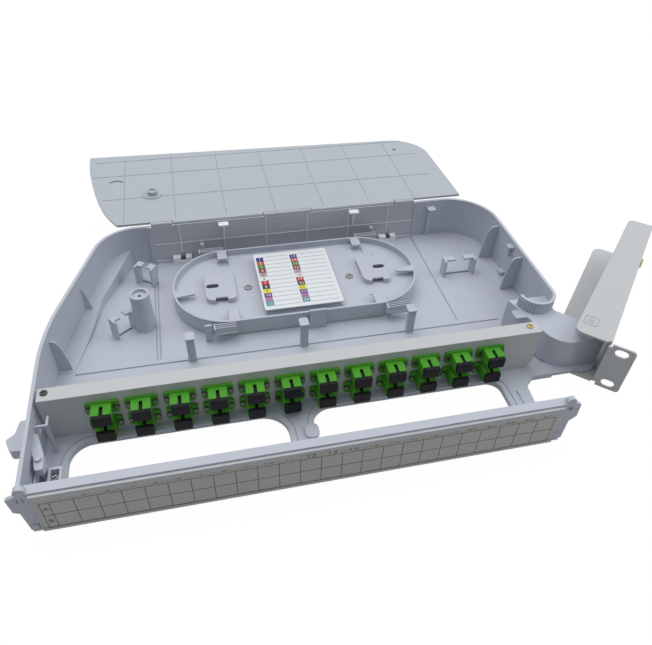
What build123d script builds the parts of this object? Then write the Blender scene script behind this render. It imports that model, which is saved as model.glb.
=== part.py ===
from build123d import *
import os
from math import cos, radians, sin, tan

os.makedirs("parts", exist_ok=True)

# Driving dimensions, millimetres. X runs along the front, Y to the rear, Z up.
# Shared heights
bracket_height = 43.0
sheet = 1.5
floor_thick = 3.5
apron_thick = 4.5
flange_gap = 0.4
pin_clear = 0.06
fit_clear = 0.3
rim_top = bracket_height - sheet - fit_clear

# Tray plan
wall = 2.5
left_x = -183.4
right_x = 214.0
front_y = -66.8
rear_y = 194.5
bend_y = 35.0
bend_r = 200.0
bend_turn = 17.5
rear_left_r = 37.0
rear_right_r = 41.0
hook_r = 15.0
hook_y = 45.0
arm_top = 31.0
relief_x = 195.0

# Pivot and bracket
pivot = (223.2, 3.5)
swing = 43.17
pivot_in = 19.0
pivot_back = 17.0
pin_r = 2.4
boss_r = 9.0
arm_r = 14.5
bracket_len = 187.0
ear_width = 18.5
top_flange = 28.0
bottom_flange = 41.0
ear_slot_x = 9.0
ear_slot_pitch = 31.75
ear_slot_r = 3.4
ear_slot_len = 10.0

# Fascia
fascia_top = 39.7
fascia_thick = 2.5
fascia_depth = 6.5
holder_thick = 1.2
label_thick = 0.4

# Adapter field
pitch = 25.4
columns = 12
row_z = {"lower": 14.5, "upper": 30.3}
body_w = 13.0
body_h = 9.3
body_front = 12.0
body_rear = 17.0
ear_w = 21.6
ear_h = 11.0
ear_t = 2.0
screw_off = 9.0
screw_r = 1.1
panel_left = -178.6
panel_right = 180.5
panel_top = 42.6
panel_flange = 11.5
panel_screws = ((-174.3, 7.0), (173.3, 7.0))
panel_screw_r = 1.6

# Lid
lid_axis_y = 193.0
lid_axis_z = 42.9
lid_pin_r = 0.8
knuckle_r = 1.7
lid_low = 42.0
lid_thick = 2.0
lid_far = 320.0
insert_left = -104.0
insert_right = 144.0
insert_y = 190.8

# Cassette
cas_left = -89.7
cas_right = 123.8
cas_front = 80.0
cas_rear = 178.0
cas_end_r = 47.0
cas_low = 4.0
cas_floor = 13.0
cas_sheet = 1.6
cas_top = 18.5
cas_wall = 1.8
cas_ends = (-60.5, 100.5)
cas_screws = ((-26.4, 126.6), (64.2, 126.4))
cas_screw_r = 1.3

# Latch
latch_pivot = (-176.5, -36.0)
latch_low = 24.0
latch_top = 30.0
latch_pin_r = 1.5


def block(x0, x1, y0, y1, z0, z1):
    return Pos((x0 + x1) / 2, (y0 + y1) / 2, (z0 + z1) / 2) * Box(x1 - x0, y1 - y0, z1 - z0)


def post(x, y, r, z0, z1):
    return Pos(x, y, (z0 + z1) / 2) * Cylinder(r, z1 - z0)


def rod_x(x0, x1, y, z, r):
    return Pos((x0 + x1) / 2, y, z) * Rot(0, 90, 0) * Cylinder(r, x1 - x0)


def rod_y(x, y0, y1, z, r):
    return Pos(x, (y0 + y1) / 2, z) * Rot(90, 0, 0) * Cylinder(r, y1 - y0)


def spot(centre, r, turn):
    return (centre[0] + r * cos(radians(turn)), centre[1] + r * sin(radians(turn)))


def arc(centre, r, first, last):
    middle = (first + last) / 2
    return ThreePointArc(spot(centre, r, first), spot(centre, r, middle), spot(centre, r, last))


def outline(corners):
    """Face through the corners (x, y, radius), each rounded by its radius."""
    spans = []
    for i, (x, y, r) in enumerate(corners):
        here = Vector(x, y)
        back = (Vector(*corners[i - 1][:2]) - here).normalized()
        ahead = (Vector(*corners[(i + 1) % len(corners)][:2]) - here).normalized()
        half = radians(back.get_angle(ahead)) / 2
        reach = r / tan(half)
        middle = here + (back + ahead).normalized() * (r / sin(half) - r) if r else here
        spans.append((here + back * reach, middle, here + ahead * reach))
    edges = []
    for i, (start, middle, end) in enumerate(spans):
        if corners[i][2]:
            edges.append(ThreePointArc(start, middle, end))
        following = spans[(i + 1) % len(spans)][0]
        if (following - end).length > 1e-4:
            edges.append(Line(end, following))
    return make_face(edges)


def slab(face, z0, z1):
    return extrude(Pos(0, 0, z0) * face, amount=z1 - z0, dir=(0, 0, 1))


def upright(points, y0, y1):
    """Plate with the given X and Z corners, standing across Y."""
    face = Plane.XZ.offset(-y0) * Polygon(*points, align=None)
    return extrude(face, amount=y1 - y0, dir=(0, 1, 0))


def sideways(points, x0, x1):
    """Plate with the given Y and Z corners, standing across X."""
    face = Plane.YZ.offset(x0) * Polygon(*points, align=None)
    return extrude(face, amount=x1 - x0, dir=(1, 0, 0))


def save(shape, node):
    export_step(shape, f"parts/{node}.step")


# Plan of the tray wall
diag = 180.0 - bend_turn
bend_c = (left_x + bend_r, bend_y)
start = spot(bend_c, bend_r - rear_left_r, diag)
run = (rear_y - rear_left_r - start[1]) / cos(radians(bend_turn))
rear_left_c = (start[0] + run * sin(radians(bend_turn)), rear_y - rear_left_r)
rear_right_c = (right_x - rear_right_r, rear_y - rear_right_r)
hook_c = (right_x - hook_r, hook_y)


def wall_line(inset, first_y):
    """Left, rear and right wall line at the given inset from the outer face."""
    bend = arc(bend_c, bend_r - inset, 180, diag)
    left = arc(rear_left_c, rear_left_r - inset, diag, 90)
    right = arc(rear_right_c, rear_right_r - inset, 90, 0)
    return [
        Line((left_x + inset, first_y), bend @ 0),
        bend,
        Line(bend @ 1, left @ 0),
        left,
        Line(left @ 1, right @ 0),
        right,
        Line(right @ 1, (right_x - inset, hook_y)),
    ]


def ring(first_y, inset, depth):
    outer = wall_line(inset, first_y)
    inner = wall_line(inset + depth, first_y)
    ends = [Line(outer[0] @ 0, inner[0] @ 0), Line(outer[-1] @ 1, inner[-1] @ 1)]
    return make_face(outer + inner + ends)


def hook(inset, depth):
    outer = arc(hook_c, hook_r - inset, 0, -180)
    inner = arc(hook_c, hook_r - inset - depth, 0, -180)
    return make_face([outer, inner, Line(outer @ 0, inner @ 0), Line(outer @ 1, inner @ 1)])


def interior(inset, first_y):
    line = wall_line(inset, first_y)
    corner = (right_x - inset, first_y)
    close = [Line(line[-1] @ 1, corner), Line(corner, line[0] @ 0)]
    return make_face(line + close)


# Tray moulding: floor, apron, walls and fascia in one piece
relief = sheet + flange_gap
foot_r = 15.5
front_right_y = -10.5
strut_x = 169.0
apron = outline([
    (left_x, front_y, 0),
    (left_x, 2.0, 0),
    (right_x, 2.0, 0),
    (right_x, front_right_y, 2),
    (178.0, front_right_y, 3),
    (strut_x, -18.0, 5),
    (strut_x - 1.5, -34.0, 14),
    (strut_x + 1.0, front_y, 0),
])
tray = slab(apron, 0, apron_thick) + slab(interior(0, 2.0), 0, floor_thick)
tray += post(*pivot, foot_r, 0, apron_thick)
tray += slab(ring(front_y, 0, wall), 0, rim_top)
tray += slab(hook(0, wall), arm_top, rim_top)
tray -= block(relief_x, 260, -40, rear_y + 5, -1, relief)
tray -= post(*pivot, pin_r + pin_clear, -1, apron_thick + 1)

windows = (
    [(-166.0, -7.4, 16), (-17.5, -7.4, 19), (-17.5, -58, 6), (-166.0, -58, 6)],
    [(1.0, -7.6, 15), (148.5, -7.6, 10), (148.5, -58, 6), (0.4, -58, 6)],
)
for window in windows:
    opening = outline(window)
    tray -= slab(opening, -1, apron_thick + 1)
    tray -= slab(offset(opening, amount=4.7) - offset(opening, amount=4.0), apron_thick - 0.5, apron_thick + 1)
tray += slab(outline([(-7, -35, 4), (3, -35, 4), (3, -23, 4), (-7, -23, 4)]), apron_thick, apron_thick + 1.6)

grooves = (
    (-167, 180, 57.3, 58.7, floor_thick),
    (-106.4, -105.4, 63, 188, floor_thick),
    (-103.8, -102.8, 63, 188, floor_thick),
    (143.3, 144.7, 63, 188, floor_thick),
    (-10.0, -8.6, -56, -36, apron_thick),
    (157.6, 159.0, -56, -22, apron_thick),
)
for x0, x1, y0, y1, top in grooves:
    tray -= block(x0, x1, y0, y1, top - 0.8, top + 1)
for x, y in ((-48.3, 81.8), (88.4, 81.1)):
    tray -= post(x, y, 1.6, -1, floor_thick + 1)

# Fascia with its drooping ends, top edge and finger knobs
fascia = upright(
    [
        (-179.4, fascia_top), (-189.8, 36.2), (-188.9, 23.3), (-185.5, 21.2), (-184.1, 2.2), (-175.4, 0),
        (165.0, 0), (171.6, 2.5), (172.0, 20.9), (176.8, 25.3), (176.2, 37.6), (172.2, fascia_top),
    ],
    front_y,
    front_y + fascia_thick,
)
fascia += block(-179.4, 172.2, front_y, front_y + fascia_depth, fascia_top - 2, fascia_top)
for x in (-181.0, 168.2):
    fascia += rod_y(x, front_y, front_y + 3.5, fascia_top + 1.4, 3.4)
for x, z in ((-182.3, 33.6), (168.6, 34.6)):
    fascia -= block(x - 1.8, x + 1.8, front_y - 1, front_y + 5, z - 1.8, z + 1.8)
for x, z in ((-181.0, 5.6), (165.8, 7.0)):
    fascia += block(x - 2.2, x + 2.2, front_y - 0.8, front_y, z - 2.2, z + 2.2)
tray += fascia
for x in (-150.0, -100.0, -50.0, 50.0, 100.0, 140.0):
    back = front_y + fascia_thick
    tray += sideways([(back, 0), (back + 5, apron_thick), (back, 30)], x - 0.8, x + 0.8)

# Posts that carry the adapter panel's top fold
for x, y in panel_screws:
    tray += post(x, y, 4.0, floor_thick - 1, panel_top - sheet)
    tray -= post(x, y, panel_screw_r + pin_clear, 20, panel_top)

# Rear opening for the gridded insert
tray -= block(insert_left, insert_right, rear_y - wall - 1, rear_y + 1, floor_thick, rim_top + 1)
for x in (insert_left - 1.2, insert_right + 1.2):
    tray += block(x - 1.2, x + 1.2, rear_y - wall - 1.5, rear_y, floor_thick, rim_top)
for x0, x1 in ((insert_left, -88.5), (127.5, insert_right)):
    tray += block(x0, x1, insert_y - 2.6, insert_y, floor_thick - 1, floor_thick + 2.2)

# Ramp that lifts the fibre along the left wall
ramp_band = Polygon((-190, 61), (-167.5, 61), (-156.5, 100), (-148.5, 137), (-124.5, 190), (-124, 193), (-190, 193), align=None)
ramp = slab(ramp_band, 1, 21) & slab(interior(wall / 2, 2.0), 1, 21)
ramp &= sideways([(61, 1), (61, floor_thick + 0.3), (105, 6.5), (161, 14.0), (193, 20.0), (193, 1)], -200, -100)
tray += ramp

# Gussets on the walls: fins with a rounded top
def fin(x_wall, x_tip, y, top):
    side = 1 if x_tip > x_wall else -1
    edge = [(0, 2.5), (1.2, 0.42 * top), (3.0, 0.72 * top), (4.4, 0.88 * top), (5.6, 0.95 * top), (7.6, top)]
    return upright([(x_wall, 2.5)] + [(x_tip - side * dx, z) for dx, z in edge] + [(x_wall, top)], y - 0.8, y + 0.8)


tray += fin(left_x + 2, -168.8, 65.0, 34.5)
tray += fin(-163.0, -155.5, 127.5, 33.5)
tray += fin(right_x - 1, 198.0, 96.0, 37.5)
tray += fin(right_x - 1, 198.0, 144.5, 38.0)

# Front posts, cable boss, fibre guides and the corner post
for x in (-79.1, 9.5, 98.7):
    tray += block(x - 3.1, x + 3.1, 56.0, 59.4, 2.5, 26.5)
    tray += slab(outline([(x - 3.7, 55.4, 1), (x + 3.7, 55.4, 1), (x + 3.7, 64.5, 2), (x - 3.7, 64.5, 2)]), 26.0, 27.6)
boss_at = (-114.3, 104.5)
tray += Pos(*boss_at, 20.2) * Cone(9.0, 7.5, 35.2)
tray -= post(*boss_at, 5.8, 35.6, 40)
tray -= post(*boss_at, 1.4, 22, 40)


def guide(x, y, turn, width, top):
    """Fibre clip: two side plates with lips that nearly meet, behind a slot in the floor."""
    half = width / 2
    clip = block(-half, -half + 1.8, -4.5, 4.5, 2.5, top) + block(half - 1.8, half, -4.5, 4.5, 2.5, top)
    clip += block(-half, -0.14 * width, -1.5, 4.5, top - 1.6, top) + block(0.14 * width, half, -1.5, 4.5, top - 1.6, top)
    slot = block(-half + 2.4, half - 2.4, -0.6, 1.6, -1, floor_thick + 1)
    return Pos(x, y, 0) * Rot(0, 0, turn) * clip, Pos(x, y, 0) * Rot(0, 0, turn) * slot


for place in ((-112.0, 161.5, -30, 17.0, 22.0), (-130.5, 99.5, 35, 19.0, 22.0), (168.0, 125.5, 0, 30.0, 20.5)):
    clip, slot = guide(*place)
    tray = tray - slot + clip
tray += block(159.0, 163.0, 189.6, 193.0, 2.5, 35.5)
tray += slab(outline([(157.2, 184, 2), (164.8, 184, 2), (164.8, 192.5, 0), (157.2, 192.5, 0)]), 34.0, 35.6)
tray += slab(outline([(206, 114, 1), (212, 114, 0), (212, 121, 0), (206, 121, 1)]), 2.5, 7.0)
tray += slab(outline([(206.5, 111, 1), (212.5, 111, 0), (212.5, 118, 0), (206.5, 118, 1)]), 35.4, 37.0)
tray += block(208.5, 212.5, 113.8, 115.2, 26.0, 36.0)
for turn in range(-178, -110, 9):
    tray += post(*spot(hook_c, hook_r, turn), 0.7, arm_top + 0.5, rim_top - 2.5)

# Pillars under the cassette's two screws, rear posts and the two front clips
for x, y in cas_screws:
    tray += post(x, y, 3.4, floor_thick - 1, cas_floor - cas_sheet)
    tray -= post(x, y, cas_screw_r + pin_clear, floor_thick, cas_floor)
for x in cas_ends:
    tray += post(x, 186.0, 1.3, floor_thick - 1, 20.0) + post(x, 186.0, 1.9, 20.0, 22.4)
for x0, x1, top, reach in ((18.0, 32.0, 23.0, -0.5), (-67.0, -61.5, 20.5, -2.0)):
    tray += block(x0, x1, cas_front - 4.2, cas_front - 2.2, 2.5, top)
    tray += sideways(
        [(cas_front - 4.2, top), (cas_front - 4.2, top - 3.4), (cas_front + reach, top - 3.4), (cas_front + reach, top - 2.4)],
        x0,
        x1,
    )

# Latch bay: slot through the wall, pivot post and spring pocket
tray -= block(left_x - 1, left_x + wall + 0.5, -31.5, 1.0, latch_low - 5.5, latch_top + 3)
tray += post(*latch_pivot, 3.2, apron_thick - 1, latch_low - fit_clear)
tray -= post(*latch_pivot, latch_pin_r + pin_clear, 12, latch_top)
tray += block(-173.2, -164.8, -48.5, -35.5, apron_thick - 1, 19.5)
tray -= block(-171.6, -166.4, -47.0, -37.5, 10.5, 20.0)
tray += block(-180.4, -179.0, -62.0, -39.5, apron_thick - 1, 22.0)
tray += block(-175.0, -172.5, -12.5, -11.0, apron_thick - 1, latch_top + 3)
tray += block(-180.4, -172.5, -12.5, -11.0, latch_top + 1, latch_top + 3)
tray += block(-174.0, -172.5, -12.5, -4.0, latch_top + 1.4, latch_top + 3)
save(tray, "tray_base")

# Pivot arm: the covered fibre duct that runs from the tray to the pivot
head = Pos(*pivot) * Circle(arm_r) & Pos(pivot[0], pivot[1] + 11.0) * Rectangle(40, 40)
arm_plan = head + outline([
    (178.6, 50.5, 0), (195.2, -5.5, 20), (pivot[0], -5.5, 0), (pivot[0] + 3.0, pivot[1] + arm_r - 0.6, 0),
    (210.5, 32.0, 3), (right_x - wall, hook_y - 3, 0), (right_x - wall, 50.5, 0),
])
arm = slab(arm_plan, apron_thick, arm_top)
core = offset(arm_plan, amount=-2.0)
mouth = Polygon((181.6, 42), (206.5, 42), (206.5, 55), (177.6, 55), align=None)
arm -= slab(core, apron_thick - 1, arm_top - 2)
arm -= slab(mouth, apron_thick - 1, arm_top - 2)
arm += post(*pivot, boss_r, apron_thick, rim_top - fit_clear)
arm -= post(*pivot, pin_r + pin_clear, 0, rim_top + 1)
arm += slab(outline([(175.5, 28.7, 2), (187, 28.7, 1), (184, 38.5, 1), (175.5, 38.5, 2)]), arm_top - 2, arm_top)
save(arm, "pivot_arm")

# Side bracket, folded from sheet, in its own frame: X outward along the ear, Y to the rear
to_tray = Pos(*pivot, 0) * Rot(0, 0, -swing) * Pos(pivot_in, -pivot_back, 0)
bracket = block(-sheet, 0, 0, bracket_len - 1, 0, bracket_height)
ear = block(-sheet, ear_width, -sheet, 0, 0, bracket_height)
slot_face = Plane.XZ * SlotOverall(ear_slot_len, 2 * ear_slot_r)
for z in (bracket_height / 2 - ear_slot_pitch / 2, bracket_height / 2 + ear_slot_pitch / 2):
    ear -= extrude(Pos(ear_slot_x, 0, z) * slot_face, amount=5, both=True)
ear = fillet(ear.edges().filter_by(Axis.Y).group_by(Axis.X)[-1], 3)
bracket += ear
top = outline([
    (-top_flange, 0, 6), (-23.0, 128.0, 20), (-21.5, bracket_len - 3, 6), (0, bracket_len - 3, 0), (0, 0, 0),
])
bottom = outline([
    (-bottom_flange, 0, 4), (-bottom_flange, bracket_len, 8), (0, bracket_len, 0), (0, 0, 0),
])
bracket += slab(top, bracket_height - sheet, bracket_height)
bracket += slab(bottom, 0, sheet)
for z in (0, bracket_height):
    bracket -= Pos(-sheet / 2, 0, z) * Box(3.5, 3.5, 6)
pivot_here = (-pivot_in, pivot_back)
bracket -= post(*pivot_here, pin_r + pin_clear, -1, bracket_height + 1)
guide_z = bracket_height - 9.0
screw_hole = rod_x(-3, 1, 131.0, guide_z, 2.5 + pin_clear)
bracket -= screw_hole
frame = RectangleRounded(10.6, 10.6, 2) - RectangleRounded(9.6, 9.6, 1.5)
bracket -= slab(Pos(*pivot_here) * frame, bracket_height - 0.3, bracket_height + 1)
save(to_tray * bracket, "side_bracket")

# Pivot rivet through both folds and the arm's boss
rivet = post(*pivot, pin_r, 0, bracket_height + 0.4)
rivet = chamfer(rivet.edges().group_by(Axis.Z)[-1], 0.25)
save(rivet, "pivot_rivet")

# Guide screw in the web
guide_screw = rod_x(-5.0, 0, 131.0, guide_z, 2.5) + rod_x(0, 2.2, 131.0, guide_z, 4.4)
guide_screw = chamfer(guide_screw.edges().group_by(Axis.X)[-1], 0.6)
guide_screw -= block(1.5, 3.0, 127.8, 134.2, guide_z - 0.5, guide_z + 0.5)
save(to_tray * guide_screw, "bracket_screw")

# Adapter panel, folded steel with two rows of cut-outs
panel = block(panel_left, panel_right, 0, sheet, apron_thick, panel_top)
panel += block(panel_left, panel_right, 0, panel_flange, panel_top - sheet, panel_top)
corner = panel.edges().filter_by(Axis.Y).group_by(Axis.Z)[0]
panel = fillet(corner.sort_by(Axis.X)[-1:], 10)
panel = fillet(panel.edges().filter_by(Axis.Y).group_by(Axis.Z)[0].sort_by(Axis.X)[:1], 2)
columns_x = [(i - (columns - 1) / 2) * pitch for i in range(columns)]
for z in row_z.values():
    for x in columns_x:
        panel -= block(x - body_w / 2 - fit_clear, x + body_w / 2 + fit_clear, -1, 3, z - body_h / 2 - fit_clear, z + body_h / 2 + fit_clear)
        for side in (-1, 1):
            panel -= rod_y(x + side * screw_off, -1, 3, z, screw_r + pin_clear)
for x, y in panel_screws:
    panel -= post(x, y, panel_screw_r + pin_clear, 30, 50)
save(panel, "adapter_panel")


def cap_screw(x, y, head_r):
    screw = post(x, y, panel_screw_r, panel_top - 14, panel_top)
    screw += post(x, y, head_r, panel_top, panel_top + 1.2)
    screw = chamfer(screw.edges().group_by(Axis.Z)[-1], 0.5)
    for wide, deep in ((2.8, 0.7), (0.7, 2.8)):
        screw -= block(x - wide / 2, x + wide / 2, y - deep / 2, y + deep / 2, panel_top + 0.6, panel_top + 3)
    return screw


save(cap_screw(*panel_screws[0], 2.5), "panel_screw_left")
save(cap_screw(*panel_screws[1], 2.5), "panel_screw_right")

# One duplex-flange adapter: screw ears, square body, keyway, and the port bores
adapter = block(-ear_w / 2, ear_w / 2, -ear_t, 0, -ear_h / 2, ear_h / 2)
adapter = fillet(adapter.edges().filter_by(Axis.Y), 2.2)
adapter += block(-body_w / 2, body_w / 2, -body_front, body_rear, -body_h / 2, body_h / 2)
adapter -= block(-1.2, 1.2, -body_front - 1, -body_front + 7.5, body_h / 2 - 1.6, body_h)
port_w = body_w - 3.0
port_h = body_h - 2.6
adapter -= block(-port_w / 2, port_w / 2, -body_front - 1, -3.0, -port_h / 2, port_h / 2)
adapter -= block(-port_w / 2, port_w / 2, 3.0, body_rear + 1, -port_h / 2, port_h / 2)
for side in (-1, 1):
    adapter -= rod_y(side * screw_off, -3, 1, 0, screw_r + pin_clear)

# Dust cap: plug in the port and a grip block that stands proud of it
cap_proud = 2.6
plug = block(-port_w / 2 + pin_clear, port_w / 2 - pin_clear, -body_front, -body_front + 6, -port_h / 2 + pin_clear, port_h / 2 - pin_clear)
grip = block(-body_w / 2 + 0.5, body_w / 2 - 0.5, -body_front - cap_proud, -body_front, -body_h / 2 + 0.5, body_h / 2 - 0.2)
cap = plug + fillet(grip.edges().filter_by(Axis.Y), 0.8)

# Flange screw: shank in the panel, round head in front
small = rod_y(0, -ear_t, sheet + 2.0, 0, screw_r) + rod_y(0, -ear_t - 1.0, -ear_t, 0, 1.75)

fasteners = []
for row, z in row_z.items():
    caps = []
    for i, x in enumerate(columns_x):
        save(Pos(x, 0, z) * adapter, f"adapter_{row}_{i + 1:02d}")
        caps.append(Pos(x, 0, z) * cap)
        fasteners += [Pos(x + side * screw_off, 0, z) * small for side in (-1, 1)]
    save(Compound(children=caps), f"dust_caps_{row}")
save(Compound(children=fasteners), "adapter_screws")

# Label rail on the fascia and the strip that slides into it
holder = block(-176.9, 163.0, front_y - holder_thick, front_y, 1.8, 38.4)
for z0, z1 in ((1.8, 3.6), (36.6, 38.4)):
    holder += block(-176.9, 163.0, front_y - holder_thick - 1.0, front_y - holder_thick, z0, z1)
save(holder, "label_holder")
label_y = front_y - holder_thick
save(block(-175.5, 161.5, label_y - label_thick, label_y, 4.0, 36.2), "label_strip")

# Gridded rear insert with the tray's half of the lid hinge
insert_top = lid_axis_z - knuckle_r - 0.5
insert = block(insert_left + fit_clear, insert_right - fit_clear, insert_y, insert_y + 1.6, floor_thick, insert_top)
for x in (-79.0, -39.8, -0.6, 38.7, 78.3, 117.4):
    insert += block(x - 0.45, x + 0.45, insert_y - 0.45, insert_y + 0.2, floor_thick + 3, insert_top)
insert += block(insert_left + 1, insert_right - 1, insert_y - 0.45, insert_y + 0.2, 22.0, 22.9)
for x in (-39.4, 82.7):
    insert += block(x - 4.5, x + 4.5, insert_y - 6.0, insert_y, insert_top - 1.6, insert_top)
    insert += sideways([(insert_y - 5.0, insert_top - 1), (insert_y, insert_top - 1), (insert_y, 24)], x - 0.7, x + 0.7)
tray_knuckles = ((-103.0, -84.0), (-2.0, 42.0), (124.0, 143.0))
lid_knuckles = ((-83.4, -2.6), (42.6, 123.4))
for x0, x1 in tray_knuckles:
    insert += block(x0, x1, lid_axis_y - knuckle_r, lid_axis_y + knuckle_r, insert_top - 2, lid_axis_z)
    insert += rod_x(x0, x1, lid_axis_y, lid_axis_z, knuckle_r)
    insert -= rod_x(x0 - 1, x1 + 1, lid_axis_y, lid_axis_z, lid_pin_r + pin_clear)
save(insert, "rear_insert")
save(rod_x(tray_knuckles[0][0], tray_knuckles[-1][1], lid_axis_y, lid_axis_z, lid_pin_r), "lid_hinge_pin")

# Clips that hold the insert to the floor, each with a dark pin
clips = []
pins = []
for x in (-79.5, 118.0):
    low, top = floor_thick, floor_thick + 6.5
    clip = block(x - 8.5, x + 8.5, insert_y - 6.5, insert_y - 0.6, low, low + 3.0)
    clip += block(x - 8.5, x - 1.5, insert_y - 6.5, insert_y - 0.6, low, top)
    clip += block(x + 3.0, x + 8.5, insert_y - 6.5, insert_y - 0.6, low, top)
    clips.append(clip - rod_x(x - 3, x + 4.5, insert_y - 3.4, low + 4.4, 1.5 + pin_clear))
    pins.append(rod_x(x - 2.9, x + 4.4, insert_y - 3.4, low + 4.4, 1.5))
save(Compound(children=clips), "insert_clips")
save(Compound(children=pins), "insert_clip_pins")

# Lid, drawn folded right back behind the tray
lid_front = lid_axis_y + knuckle_r + 0.35
lid_top = lid_low + lid_thick
lid_edge = [
    Spline(
        (-132.0, lid_front), (-144.3, lid_far - 100.2), (-153.2, lid_far - 66.2), (-159.9, lid_far - 20),
        (-160.6, lid_far + 4),
    ),
    Line((-160.6, lid_far + 4), (153.0, lid_far - 4.6)),
    ThreePointArc((153.0, lid_far - 4.6), (178.4, lid_far - 15.4), (189.0, lid_far - 41.0)),
    Line((189.0, lid_far - 41.0), (191.0, lid_front)),
    Line((191.0, lid_front), (-132.0, lid_front)),
]
lid = slab(make_face(lid_edge), lid_low, lid_top)
for x in (-126.0, -80.5, -35.5, 9.8, 55.0, 100.0, 145.0):
    lid -= block(x - 0.35, x + 0.35, lid_front + 1.5, lid_far - 6, lid_top - 0.3, lid_top + 1)
for back in (81.5, 38.0, 8.5):
    y = lid_far - back
    lid -= block(-156 if back < 70 else -146, 175, y - 0.35, y + 0.35, lid_top - 0.3, lid_top + 1)
grip_y = lid_far - 52.0
grip_cut = make_face([
    ThreePointArc((-141.3, grip_y), (-134, grip_y + 6.5), (-126.7, grip_y)),
    ThreePointArc((-126.7, grip_y), (-134, grip_y + 3.0), (-141.3, grip_y)),
])
lid -= slab(grip_cut, lid_top - 1.2, lid_top + 1)
ring_at = (-100, lid_far - 77)
lid += post(*ring_at, 9.0, lid_top - 0.5, lid_top + 0.7)
lid += post(*ring_at, 4.6, lid_top, lid_top + 4.2)
lid -= post(*ring_at, 3.2, lid_top + 3.0, lid_top + 9)
lid -= post(155, lid_far - 26, 1.8, lid_low - 1, lid_top + 1)
for x0, x1 in lid_knuckles:
    lid += block(x0, x1, lid_axis_y, lid_front + 0.5, lid_low, lid_top)
    lid += rod_x(x0, x1, lid_axis_y, lid_axis_z, knuckle_r)
    lid -= rod_x(x0 - 1, x1 + 1, lid_axis_y, lid_axis_z, lid_pin_r + pin_clear)
save(lid, "lid")

# Splice cassette: race-track dish with fibre tabs and ribs, held down by two screws
cas_mid_y = (cas_front + cas_rear) / 2


def track(inset):
    r = cas_end_r - inset
    left, right = cas_left + inset, cas_right - inset
    front, rear = cas_front + inset, cas_rear - inset
    return outline([(left, front, r), (right, front, r), (right, rear, r), (left, rear, r)])


def rib_block(x0, x1, y, step):
    """Three ribs along X outside a rail, with a plate below and a web at each end."""
    y0, y1 = sorted((y - step * 0.5, y + step * 2.4 + (0.5 if step > 0 else -0.5)))
    ribs = block(x0, x1, y0, y1, cas_floor - 2.0, cas_floor)
    for i in range(3):
        ribs += block(x0, x1, y + step * i * 1.1 + 0.2, y + step * i * 1.1 + 1.1, cas_floor - 1, cas_top - 0.4)
    return ribs + block(x0, x0 + 1.2, y0, y1, cas_floor - 1, cas_top - 0.4)


cassette = slab(track(0), cas_low, cas_top) - slab(track(cas_wall), cas_floor, cas_top + 1)
cassette -= slab(track(cas_wall), cas_low - 1, cas_floor - cas_sheet)
for x0, x1 in ((cas_ends[0] + 0.5, -42.0), (84.0, cas_ends[1] + 4.0)):
    cassette += rib_block(x0, x1, cas_front - 1.4, -2.0)
for x0, x1 in ((cas_ends[0] - 4.0, -42.0), (83.0, cas_ends[1] + 4.0)):
    cassette += rib_block(x0, x1, cas_rear + 0.2, 2.0)
side_tabs = ((-48.5, -40.0, 164.5, cas_rear - 0.5), (-47, -38, cas_front + 0.5, 95), (76.5, 85, 164.5, cas_rear - 0.5), (76, 86, cas_front + 0.5, 95))
for x0, x1, y0, y1 in side_tabs:
    front = y0 < cas_mid_y
    recess = (y1 - 3, y1 + 4) if front else (y0 - 6, y0 + 3)
    cassette -= block(x0 - 0.6, x1 + 0.6, *recess, cas_floor - 0.7, cas_floor + 1)
    cassette += slab(outline([(x0, y0, 1), (x1, y0, 1), (x1, y1, 1), (x0, y1, 1)]), cas_top - 1.6, cas_top)
for root, tip in ((cas_left + 0.8, cas_left + 18), (cas_right - 0.8, cas_right - 18)):
    tongue = Polygon((root, 117.5), (tip, 119.8), (tip, 123.6), (root, 126.5), align=None)
    cassette += slab(tongue, cas_top - 1.6, cas_top)

# Two hollow platforms that the fibre turns round, each with a slot and a notch at the front
platforms = ((-63, -37.2, 110, 148, -6.5), (74.5, 99, 112, 151, 5.5))
for x0, x1, y0, y1, shift in platforms:
    platform = slab(outline([(x0, y0, 7), (x1, y0, 4), (x1, y1, 4), (x0, y1, 7)]), cas_floor - 1, cas_top - 1)
    platform -= slab(outline([(x0 + 1.6, y0 + 1.6, 5.4), (x1 - 1.6, y0 + 1.6, 2.4), (x1 - 1.6, y1 - 1.6, 2.4), (x0 + 1.6, y1 - 1.6, 5.4)]), cas_low, cas_top - 2.6)
    middle = (x0 + x1) / 2
    platform -= slab(Pos(middle + shift, y0 + 19) * SlotOverall(11, 5.2), cas_floor, cas_top)
    for y in (y0, y1):
        platform -= block(middle - 5, middle + 5, y - 3, y + 3, cas_floor - 2, cas_top)
    cassette += platform
for x, y in cas_screws:
    cassette -= post(x, y, cas_screw_r + pin_clear, cas_low - 1, cas_floor + 4)
save(cassette, "splice_cassette")

screws = []
for x, y in cas_screws:
    head = post(x, y, 3.2, cas_floor, cas_floor + 1.5) + post(x, y, cas_screw_r, floor_thick + 1, cas_floor)
    head = chamfer(head.edges().group_by(Axis.Z)[-1], 0.5)
    for wide, deep in ((4.2, 0.8), (0.8, 4.2)):
        head -= block(x - wide / 2, x + wide / 2, y - deep / 2, y + deep / 2, cas_floor + 0.8, cas_floor + 2)
    screws.append(head)
save(Compound(children=screws), "cassette_screws")

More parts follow.
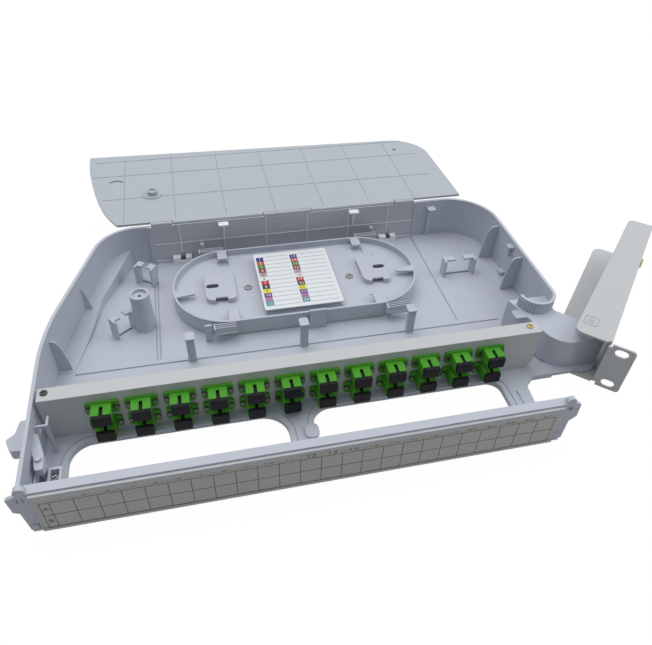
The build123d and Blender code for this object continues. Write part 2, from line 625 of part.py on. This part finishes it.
# Splice comb and the card that lies on it
card_box = (-17.0, 50.0, 88.0, 165.0)
comb = block(card_box[0] + 1, card_box[1] - 1, card_box[2] + 2, card_box[3] - 2, cas_floor, cas_floor + 1.2)
for i in range(9):
    y = card_box[2] + 3 + i * 8.6
    comb += block(card_box[0] + 2, card_box[1] - 2, y, y + 1.4, cas_floor + 0.6, cas_top - 0.2)
save(comb, "splice_comb")
card = RectangleRounded(card_box[1] - card_box[0], card_box[3] - card_box[2], 2)
card = Pos((card_box[0] + card_box[1]) / 2, (card_box[2] + card_box[3]) / 2) * card
save(slab(card, cas_top - 0.2, cas_top + 0.5), "splice_card")

# Front latch: nose through the wall, pivoting lever and its spring
nose = outline([
    (-181.0, -2.8, 1), (-191.0, -2.8, 2), (-193.0, -13.3, 2), (-198.0, -17.0, 2), (-194.6, -26.5, 3), (-181.0, -28.0, 2),
])
lever_plan = outline([
    (-183.0, -15.5, 1), (-179.0, -15.5, 1), (-173.6, -33.0, 2), (-173.0, -44.0, 1.5), (-178.0, -44.0, 1.5),
    (-180.0, -33.0, 2), (-183.0, -26.0, 1),
])
lever = slab(nose, latch_low - 2.0, latch_top) + slab(lever_plan, latch_low, latch_top)
lever -= post(*latch_pivot, latch_pin_r + pin_clear, 10, latch_top + 1)
save(lever, "latch_lever")
latch_pin = post(*latch_pivot, latch_pin_r, 14, latch_top + fit_clear)
latch_pin += post(*latch_pivot, 2.1, latch_top + fit_clear, latch_top + fit_clear + 1.2)
save(latch_pin, "latch_pin")
coil = Helix(pitch=2.4, height=7.2, radius=1.9)
wire_end = Plane(origin=coil @ 0, z_dir=coil % 0)
spring = sweep(wire_end * RegularPolygon(0.5, 4), path=coil, is_frenet=True)
save(Pos(-169.0, -42.2, 11.2) * spring, "latch_spring")
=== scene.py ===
import math

import bmesh
import bpy
from mathutils import Matrix, Vector


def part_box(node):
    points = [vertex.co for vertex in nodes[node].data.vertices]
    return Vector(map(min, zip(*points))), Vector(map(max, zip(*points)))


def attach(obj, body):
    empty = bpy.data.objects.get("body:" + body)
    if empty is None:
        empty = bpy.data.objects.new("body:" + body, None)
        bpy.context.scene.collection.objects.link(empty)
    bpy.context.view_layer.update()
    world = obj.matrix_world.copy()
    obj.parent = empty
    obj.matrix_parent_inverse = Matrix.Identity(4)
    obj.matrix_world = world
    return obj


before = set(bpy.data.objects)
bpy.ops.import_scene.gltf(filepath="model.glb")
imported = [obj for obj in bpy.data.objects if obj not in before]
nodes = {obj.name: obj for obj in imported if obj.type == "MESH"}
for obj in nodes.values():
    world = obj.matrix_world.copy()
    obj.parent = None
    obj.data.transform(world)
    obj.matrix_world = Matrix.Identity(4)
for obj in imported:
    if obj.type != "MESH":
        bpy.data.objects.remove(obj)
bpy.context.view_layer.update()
scene = bpy.context.scene
scene.view_settings.view_transform = "Standard"

# The viewing place: in front of the tray, a little to its left and well above it, looking down at
# the open tray. The lens is given by its focal length in pixels of a picture 652 pixels wide.
eye = Vector((-0.06336, -0.28957, 0.35562))
right = Vector((0.97481, -0.22031, 0.03480))
ahead = Vector((0.18514, 0.71227, -0.67705))
focal_pixels = 616.77
picture_width = 652.0
film_width = 36.0
camera_data = bpy.data.cameras.new("camera")
camera_data.sensor_fit = "HORIZONTAL"
camera_data.sensor_width = film_width
camera_data.lens = focal_pixels * film_width / picture_width
camera_data.clip_start = 0.01
camera = bpy.data.objects.new("camera", camera_data)
scene.collection.objects.link(camera)
turn = Matrix((right, right.cross(ahead), -ahead)).transposed().to_4x4()
camera.matrix_world = Matrix.Translation(eye) @ turn
scene.camera = camera

# The plain studio surround: white where it is seen, but most of its light comes from above and behind,
# as from a ceiling window, so that faces turned to the front stay dark.
sky_slope = (0.04, 0.25, 0.50)
sky_level = 0.245
sky_least = 0.03
sky_colour = (0.94, 0.97, 1.0, 1)
white = (1, 1, 1, 1)


def maths(tree, operation, *values):
    """The output of a Math node, where each value is a number or another node's output."""
    node = tree.nodes.new("ShaderNodeMath")
    node.operation = operation
    for socket, value in zip(node.inputs, values):
        if isinstance(value, (int, float)):
            socket.default_value = value
        else:
            tree.links.new(value, socket)
    return node.outputs[0]


def seen_plainly(tree):
    """One for what the camera sees, directly, in a reflection or through something clear."""
    path = tree.nodes.new("ShaderNodeLightPath")
    seen = path.outputs["Is Camera Ray"]
    for kind in ("Is Glossy Ray", "Is Transmission Ray"):
        seen = maths(tree, "MAXIMUM", seen, path.outputs[kind])
    return seen


def show_white(tree, lit, seen_white, share, surface):
    """Puts the white shader in place of the lit one, by the share given, on the surface socket."""
    mix = tree.nodes.new("ShaderNodeMixShader")
    tree.links.new(share, mix.inputs["Fac"])
    tree.links.new(lit.outputs[0], mix.inputs[1])
    tree.links.new(seen_white.outputs[0], mix.inputs[2])
    tree.links.new(mix.outputs[0], surface)


world = bpy.data.worlds.new("studio")
scene.world = world
world.use_nodes = True
tree = world.node_tree
tree.nodes.clear()
direction = tree.nodes.new("ShaderNodeTexCoord")
height_in_sky = tree.nodes.new("ShaderNodeVectorMath")
height_in_sky.operation = "DOT_PRODUCT"
height_in_sky.inputs[1].default_value = sky_slope
tree.links.new(direction.outputs["Generated"], height_in_sky.inputs[0])
sky = tree.nodes.new("ShaderNodeBackground")
sky.inputs["Color"].default_value = sky_colour
sky_strength = maths(tree, "ADD", height_in_sky.outputs["Value"], sky_level)
tree.links.new(maths(tree, "MAXIMUM", sky_strength, sky_least), sky.inputs["Strength"])
plain_sky = tree.nodes.new("ShaderNodeBackground")
plain_sky.inputs["Color"].default_value = white
plain_sky.inputs["Strength"].default_value = 1.0
world_output = tree.nodes.new("ShaderNodeOutputWorld")
show_white(tree, sky, plain_sky, seen_plainly(tree), world_output.inputs["Surface"])

# The studio floor: pale matt paper, a hair below the part. It shows almost white, and a tenth of its
# own lit colour is kept in it, so that the part's shadow stays.
floor_grey = (0.36, 0.36, 0.36, 1)
floor_white_share = 0.9
floor_white_strength = 1.08
floor_half = 6.0
floor_level = -0.0003

floor_material = bpy.data.materials.new("studio_floor")
floor_material.use_nodes = True
tree = floor_material.node_tree
paper = tree.nodes["Principled BSDF"]
paper.inputs["Base Color"].default_value = floor_grey
paper.inputs["Roughness"].default_value = 0.9
bright = tree.nodes.new("ShaderNodeEmission")
bright.inputs["Color"].default_value = white
bright.inputs["Strength"].default_value = floor_white_strength
share = maths(tree, "MULTIPLY", seen_plainly(tree), floor_white_share)
show_white(tree, paper, bright, share, tree.nodes["Material Output"].inputs["Surface"])
mesh = bpy.data.meshes.new("studio_floor")
quarters = ((-1, -1), (1, -1), (1, 1), (-1, 1))
floor_corners = [(x * floor_half, y * floor_half, floor_level) for x, y in quarters]
mesh.from_pydata(floor_corners, [], [(0, 1, 2, 3)])
mesh.materials.append(floor_material)
studio_floor = bpy.data.objects.new("studio_floor", mesh)
scene.collection.objects.link(studio_floor)

# Two soft square lamps: the main one high up behind the part, and a weaker one at its right.
# Sizes are in metres and powers in watts.
for name, place, aim, size, power, colour in (
    ("key_lamp", (-0.3, 0.55, 1.55), (0.0, 0.05, 0.0), 1.3, 10.0, (1.0, 0.985, 0.97)),
    ("side_lamp", (1.3, 0.0, 0.9), (0.0, 0.1, 0.0), 0.9, 6.0, (0.97, 0.98, 1.0)),
):
    lamp_data = bpy.data.lights.new(name, "AREA")
    lamp_data.size = size
    lamp_data.energy = power
    lamp_data.color = colour
    lamp = bpy.data.objects.new(name, lamp_data)
    lamp.location = place
    lamp.rotation_euler = (Vector(aim) - Vector(place)).to_track_quat("-Z", "Y").to_euler()
    scene.collection.objects.link(lamp)

# The tray is one large moulding in a cool light grey plastic. Its spark-eroded mould leaves a fine grain,
# handling leaves faint uneven patches, and every moulded edge is slightly round.
patch_scale = 14.0
patch_gloss = 0.18
grain_relief = 0.0002
edge_radius = 0.0006


def moulded_face_group():
    """Colour, roughness and normal of a grained moulding, from its plain colour."""
    group = bpy.data.node_groups.new("moulded_face", "ShaderNodeTree")
    face = group.interface
    face.new_socket("Colour", in_out="INPUT", socket_type="NodeSocketColor")
    for label in ("Grain Size", "Grain Depth", "Patches", "Roughness"):
        face.new_socket(label, in_out="INPUT", socket_type="NodeSocketFloat")
    face.new_socket("Colour", in_out="OUTPUT", socket_type="NodeSocketColor")
    face.new_socket("Roughness", in_out="OUTPUT", socket_type="NodeSocketFloat")
    face.new_socket("Normal", in_out="OUTPUT", socket_type="NodeSocketVector")
    new_node, link = group.nodes.new, group.links.new
    given = new_node("NodeGroupInput")
    result = new_node("NodeGroupOutput")
    place = new_node("ShaderNodeTexCoord")

    patch = new_node("ShaderNodeTexNoise")
    patch.inputs["Scale"].default_value = patch_scale
    patch.inputs["Detail"].default_value = 5.0
    link(place.outputs["Object"], patch.inputs["Vector"])
    centred = maths(group, "SUBTRACT", patch.outputs["Fac"], 0.5)
    shade = maths(group, "MULTIPLY_ADD", centred, given.outputs["Patches"], 1.0)
    tint = new_node("ShaderNodeVectorMath")
    tint.operation = "SCALE"
    link(given.outputs["Colour"], tint.inputs[0])
    link(shade, tint.inputs["Scale"])
    link(tint.outputs[0], result.inputs["Colour"])
    uneven = maths(group, "MULTIPLY_ADD", centred, patch_gloss, given.outputs["Roughness"])
    link(uneven, result.inputs["Roughness"])

    grain = new_node("ShaderNodeTexNoise")
    grain.inputs["Detail"].default_value = 3.0
    link(place.outputs["Object"], grain.inputs["Vector"])
    link(given.outputs["Grain Size"], grain.inputs["Scale"])
    rounded = new_node("ShaderNodeBevel")
    rounded.samples = 4
    rounded.inputs["Radius"].default_value = edge_radius
    bump = new_node("ShaderNodeBump")
    bump.inputs["Distance"].default_value = grain_relief
    link(rounded.outputs[0], bump.inputs["Normal"])
    link(given.outputs["Grain Depth"], bump.inputs["Strength"])
    link(grain.outputs["Fac"], bump.inputs["Height"])
    link(bump.outputs[0], result.inputs["Normal"])
    return group


moulded_face = moulded_face_group()


def moulding(name, colour, roughness=0.45, grain=1500.0, depth=0.12, patches=0.06,
             metal=0.0, coat=0.0, shine=0.5):
    """A moulded, coated, plated or printed finish in one colour, with its grain and patches."""
    material = bpy.data.materials.new(name)
    material.use_nodes = True
    tree = material.node_tree
    shader = tree.nodes["Principled BSDF"]
    shader.inputs["Metallic"].default_value = metal
    shader.inputs["Coat Weight"].default_value = coat
    shader.inputs["Specular IOR Level"].default_value = shine
    finish = tree.nodes.new("ShaderNodeGroup")
    finish.node_tree = moulded_face
    finish.inputs["Colour"].default_value = (*colour, 1)
    finish.inputs["Grain Size"].default_value = grain
    finish.inputs["Grain Depth"].default_value = depth
    finish.inputs["Patches"].default_value = patches
    finish.inputs["Roughness"].default_value = roughness
    tree.links.new(finish.outputs["Colour"], shader.inputs["Base Color"])
    tree.links.new(finish.outputs["Roughness"], shader.inputs["Roughness"])
    tree.links.new(finish.outputs["Normal"], shader.inputs["Normal"])
    return material


def finish_node(node, material):
    """Gives a node of the frame its material."""
    mesh = nodes[node].data
    mesh.materials.clear()
    mesh.materials.append(material)


tray_grey = (0.50, 0.53, 0.60)
tray_plastic = moulding("tray_plastic", tray_grey)
finish_node("tray_base", tray_plastic)

# The latch at the left end: a moulded lever that turns on a short moulded pin, with its nose outside
# the wall. A small coil spring of bright plated wire pushes it out.


def steel(name, colour, roughness, depth=0.25, patches=0.3):
    """Plated or bare steel of a small turned or wound piece."""
    return moulding(name, colour, roughness, grain=2600.0, depth=depth, patches=patches, metal=1.0)


finish_node("latch_lever", tray_plastic)
finish_node("latch_pin", tray_plastic)
finish_node("latch_spring", steel("plated_steel", (0.62, 0.61, 0.58), 0.3, depth=0.2, patches=0.2))

# The rear insert: a gridded wall, moulded on its own and clipped into the tray. Its low ribs stand proud
# of the wall and get a painted highlight: they are painted paler than the wall between them.
insert_grey = (0.50, 0.515, 0.56)
rib_painted_highlight = (0.86, 0.87, 0.89)
wall_face = 0.1906
insert_plastic = moulding("insert_plastic", insert_grey)
tree = insert_plastic.node_tree
place = tree.nodes.new("ShaderNodeTexCoord")
depth_in = tree.nodes.new("ShaderNodeSeparateXYZ")
tree.links.new(place.outputs["Object"], depth_in.inputs[0])
# Painted highlight: whatever stands in front of the wall's face, the ribs, gets the paler colour.
rib_highlight_tint = tree.nodes.new("ShaderNodeMix")
rib_highlight_tint.data_type = "RGBA"
rib_highlight_tint.inputs["A"].default_value = (*insert_grey, 1)
rib_highlight_tint.inputs["B"].default_value = (*rib_painted_highlight, 1)
tree.links.new(maths(tree, "LESS_THAN", depth_in.outputs["Y"], wall_face), rib_highlight_tint.inputs["Factor"])
tree.links.new(rib_highlight_tint.outputs["Result"], tree.nodes["Group"].inputs["Colour"])
finish_node("rear_insert", insert_plastic)

# A low moulded ledge on the insert's top edge closes the seam under each of the lid's two knuckles.
# It stands just clear of them, so the lid still turns freely.
insert_low, insert_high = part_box("rear_insert")
insert_middle = (insert_low[0] + insert_high[0]) / 2
knuckle_from_middle = 0.063
ledge_half = 0.0402
ledge_front = 0.1909
ledge_back = 0.1923
ledge_low = 0.0406
ledge_top = 0.04105


def add_piece(name, bm, body, material):
    """Turns a finished bmesh into a piece that rides on a body."""
    mesh = bpy.data.meshes.new(name)
    bm.to_mesh(mesh)
    bm.free()
    mesh.materials.append(material)
    piece = bpy.data.objects.new(name, mesh)
    scene.collection.objects.link(piece)
    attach(piece, body)
    return piece


def flat_bars(name, bars, body, material):
    """Thin bars, each (x0, x1, y0, y1, z0, z1), joined in one piece."""
    bm = bmesh.new()
    for x0, x1, y0, y1, z0, z1 in bars:
        middle = Vector((x0 + x1, y0 + y1, z0 + z1)) / 2
        size = Vector((x1 - x0, y1 - y0, z1 - z0))
        for v in bmesh.ops.create_cube(bm, size=1.0)["verts"]:
            v.co = middle + v.co * size
    return add_piece(name, bm, body, material)


ledges = []
for x in (insert_middle - knuckle_from_middle, insert_middle + knuckle_from_middle):
    ledges.append((x - ledge_half, x + ledge_half, ledge_front, ledge_back, ledge_low, ledge_top))
insert_ledge = flat_bars("insert_ledge", ledges, "tray", insert_plastic)

# Two near-white clips hold the insert's foot to the tray's floor, and each is locked by a dark pin.
# The clips are moulded in a paler plastic than the tray.
dark_pin = moulding("dark_pin", (0.05, 0.05, 0.055), roughness=0.4)
finish_node("insert_clips", moulding("clip_plastic", (0.86, 0.87, 0.89), roughness=0.4))
finish_node("insert_clip_pins", dark_pin)

# The lid is a thin gridded moulding, folded right back behind the tray. It turns on a slim dark pin
# in the insert's top edge, and its face is smoother and a little darker than the tray.
lid_grey = (0.43, 0.465, 0.51)
lid_plastic = moulding("lid_plastic", lid_grey, roughness=0.42, grain=1100.0, depth=0.08, patches=0.03)
finish_node("lid", lid_plastic)
finish_node("lid_hinge_pin", dark_pin)

# The splice cassette and the comb on its floor are the tray's plastic.
# Two worn steel screws hold the cassette down.
finish_node("splice_cassette", tray_plastic)
finish_node("splice_comb", tray_plastic)
finish_node("cassette_screws", steel("worn_steel", (0.32, 0.32, 0.32), 0.4))

# The splice card lies on the comb: stiff white coated card, with two columns of colour chips for
# twenty-four fibres, a number on each chip and a ruled line beside it to write on.
card_white = moulding("splice_card", (0.74, 0.77, 0.80), 0.35, 2400.0, depth=0.02, patches=0.02)
finish_node("splice_card", card_white)
print_ink = moulding("print_ink", (0.10, 0.10, 0.11), 0.6, 2600.0, depth=0.02, patches=0.1)
white_ink = moulding("white_ink", (0.85, 0.85, 0.85), 0.6, 2600.0, depth=0.02, patches=0.02)
card_low, card_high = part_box("splice_card")
ink_bottom = card_high[2] - 0.00002
ink_top = card_high[2] + 0.00008
chip_height = card_high[2] + 0.00004
chip_columns = (card_low[0] + 0.0053, card_low[0] + 0.0358)
chip_half_width = 0.0032
chip_row = 0.0056
chip_start = card_high[1] - 0.0052
rule_spans = ((card_low[0] + 0.0085, card_low[0] + 0.0315), (card_low[0] + 0.0390, card_low[0] + 0.0640))
rule_half = 0.00012
chip_number_size = 0.0045
fibre_colours = (
    ("blue", (0.02, 0.02, 0.20)), ("orange", (0.46, 0.08, 0.02)), ("green", (0.05, 0.17, 0.025)),
    ("brown", (0.26, 0.03, 0.025)), ("grey", (0.40, 0.36, 0.37)), ("white", (0.74, 0.75, 0.76)),
    ("red", (0.42, 0.02, 0.02)), ("black", (0.012, 0.012, 0.014)), ("yellow", (0.72, 0.66, 0.02)),
    ("violet", (0.09, 0.03, 0.21)), ("pink", (0.46, 0.20, 0.38)), ("aqua", (0.05, 0.28, 0.33)),
)
dark_print_on = ("grey", "white", "yellow", "pink")


def printed_word(name, text, place, size, ink, thickness, lean=0.0, stretch=1.0):
    """A number or letter printed on the card or the strip; lean turns it up from lying flat."""
    curve = bpy.data.curves.new(name, "FONT")
    curve.body = text
    curve.size = size
    curve.align_x = "CENTER"
    curve.align_y = "CENTER"
    curve.extrude = thickness
    curve.resolution_u = 2
    curve.materials.append(ink)
    piece = bpy.data.objects.new(name, curve)
    piece.location = place
    piece.rotation_euler = (lean, 0, 0)
    piece.scale = (stretch, 1.0, 1.0)
    scene.collection.objects.link(piece)
    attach(piece, "tray")


rules = []
for k in range(len(fibre_colours) + 1):
    y = chip_start - k * chip_row
    for x0, x1 in rule_spans:
        rules.append((x0, x1, y - rule_half, y + rule_half, ink_bottom, ink_top))
card_rules = flat_bars("card_rules", rules, "tray", print_ink)
for k, (word, colour) in enumerate(fibre_colours):
    y = chip_start - (k + 0.5) * chip_row
    bars = []
    for x in chip_columns:
        bars.append((x - chip_half_width, x + chip_half_width, y - chip_row / 2, y + chip_row / 2,
                     ink_bottom, chip_height))
    chip_ink = moulding(f"chip_{word}", colour, 0.4, 2400.0, depth=0.02, patches=0.03)
    chips = flat_bars(f"fibre_chip_{word}", bars, "tray", chip_ink)
    number_ink = print_ink if word in dark_print_on else white_ink
    for x, number in zip(chip_columns, (k + 1, k + 1 + len(fibre_colours))):
        place = (x, y, ink_top)
        printed_word(f"chip_number_{number:02d}", str(number), place, chip_number_size, number_ink, 0.00002)

# The pivot arm is a moulding of its own, a covered duct that takes the fibre from the tray to the pivot.
# It is the tray's plastic from a smoother mould.
finish_node("pivot_arm", moulding("arm_plastic", tray_grey, roughness=0.38))

# The side bracket is folded steel under a light powder coat with a slight orange peel. A steel rivet
# through both folds is the tray's pivot, and a yellow passivated screw in the web guides the tray.
powder_coat = moulding("powder_coat", (0.52, 0.53, 0.54), 0.5, grain=700.0, depth=0.35, patches=0.03)
yellow_passivate = steel("yellow_passivate", (0.46, 0.36, 0.16), 0.32, depth=0.2)
finish_node("side_bracket", powder_coat)
finish_node("pivot_rivet", steel("rivet_steel", (0.40, 0.40, 0.42), 0.4))
finish_node("bracket_screw", yellow_passivate)

# The adapter panel is folded from the same steel, in a slightly lighter coat. Its top fold is held by
# one dark screw at the left and one yellow screw at the right.
panel_coat = moulding("panel_coat", (0.54, 0.55, 0.56), 0.5, grain=700.0, depth=0.3, patches=0.03)
dark_steel = steel("dark_steel", (0.07, 0.07, 0.072), 0.28)
finish_node("adapter_panel", panel_coat)
finish_node("panel_screw_left", dark_steel)
finish_node("panel_screw_right", yellow_passivate)

# Two rows of twelve flanged adapters, moulded in bright green glass-filled plastic. Each is held by two
# small dark screws and closed by a soft black cap.
adapter_columns = 12
bright_green = (0.07, 0.32, 0.022)
adapter_green = moulding("adapter_green", bright_green, 0.42, 2200.0, depth=0.1, patches=0.1, shine=0.2)
cap_black = moulding("cap_black", (0.016, 0.015, 0.019), 0.6, 2600.0, depth=0.2, patches=0.2, shine=0.12)
for row in ("lower", "upper"):
    finish_node(f"dust_caps_{row}", cap_black)
    for i in range(1, adapter_columns + 1):
        finish_node(f"adapter_{row}_{i:02d}", adapter_green)
finish_node("adapter_screws", dark_steel)

# The label rail on the fascia is a smooth grey moulding. It holds a printed strip of coated card, with
# one cell for each port in two rows and a number over each column.
rail_plastic = moulding("rail_plastic", (0.50, 0.515, 0.54), roughness=0.4)
# The strip's card is painted a darker grey than the pale card itself, as painted shade on its front face.
label_card = moulding("label_card", (0.40, 0.40, 0.37), 0.35, 2400.0, depth=0.03, patches=0.02, coat=0.3)
finish_node("label_holder", rail_plastic)
finish_node("label_strip", label_card)
strip_low, strip_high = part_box("label_strip")
strip_face = strip_low[1]
ports = 24
cell = 0.0136
first_cell = strip_low[0] + 0.0079
letters_left = strip_low[0] + 0.0023
grid_low = strip_low[2] + 0.0004
grid_high = strip_low[2] + 0.0260
grid_middle = (grid_low + grid_high) / 2
half_line = 0.00022
grid_ink = (strip_face - 0.00006, strip_face + 0.00004)

grid = []
for x in [letters_left] + [first_cell + k * cell for k in range(ports + 1)]:
    grid.append((x - half_line, x + half_line, *grid_ink, grid_low, grid_high))
for z in (grid_low, grid_middle, grid_high):
    grid.append((letters_left, first_cell + ports * cell, *grid_ink, z - half_line, z + half_line))
label_grid = flat_bars("label_grid", grid, "tray", print_ink)

number_size = 0.0056
number_height = 0.0335
low_numbers = {11: 0.0326, 12: 0.0329}
letter_size = 0.0048
strip_print = {"ink": print_ink, "thickness": 0.00003, "lean": math.pi / 2, "stretch": 1.3}
print_depth = strip_face - 0.00006
for k in range(ports):
    place = (first_cell + (k + 0.5) * cell, print_depth, low_numbers.get(k, number_height))
    printed_word(f"port_number_{k + 1:02d}", str(k + 1), place, number_size, **strip_print)
for word, z in (("A", (grid_middle + grid_high) / 2), ("B", (grid_low + grid_middle) / 2)):
    place = ((letters_left + first_cell) / 2, print_depth, z)
    printed_word(f"row_letter_{word}", word, place, letter_size, **strip_print)

# The rail's long thin upper lip is part of the same moulding, and hides the upper part of most numbers.
# It is bowed up near the middle, where two numbers stand clear. Its lower edge is given as (x, z).
lip_bottom = 0.0337
lip_top = 0.0368
lip_end = 0.0006
lip_edge = (
    (strip_low[0] + lip_end, lip_bottom), (-0.0190, lip_bottom), (-0.0180, 0.0358), (-0.0050, 0.0358),
    (0.0024, 0.0352), (0.0160, 0.0343), (0.0290, lip_bottom), (strip_high[0] - lip_end, lip_bottom),
)
lip_back = strip_face - 0.0001
lip_front = strip_face - 0.0005
bm = bmesh.new()
sections = []
for x, z in lip_edge:
    corners = ((lip_back, z), (lip_front, z), (lip_front, lip_top), (lip_back, lip_top))
    sections.append([bm.verts.new((x, y, height)) for y, height in corners])
for near, far in zip(sections, sections[1:]):
    for k in range(4):
        bm.faces.new((near[k], near[(k + 1) % 4], far[(k + 1) % 4], far[k]))
bm.faces.new(sections[0][::-1])
bm.faces.new(sections[-1])
bmesh.ops.recalc_face_normals(bm, faces=bm.faces)
rail_lip = add_piece("rail_lip", bm, "tray", rail_plastic)
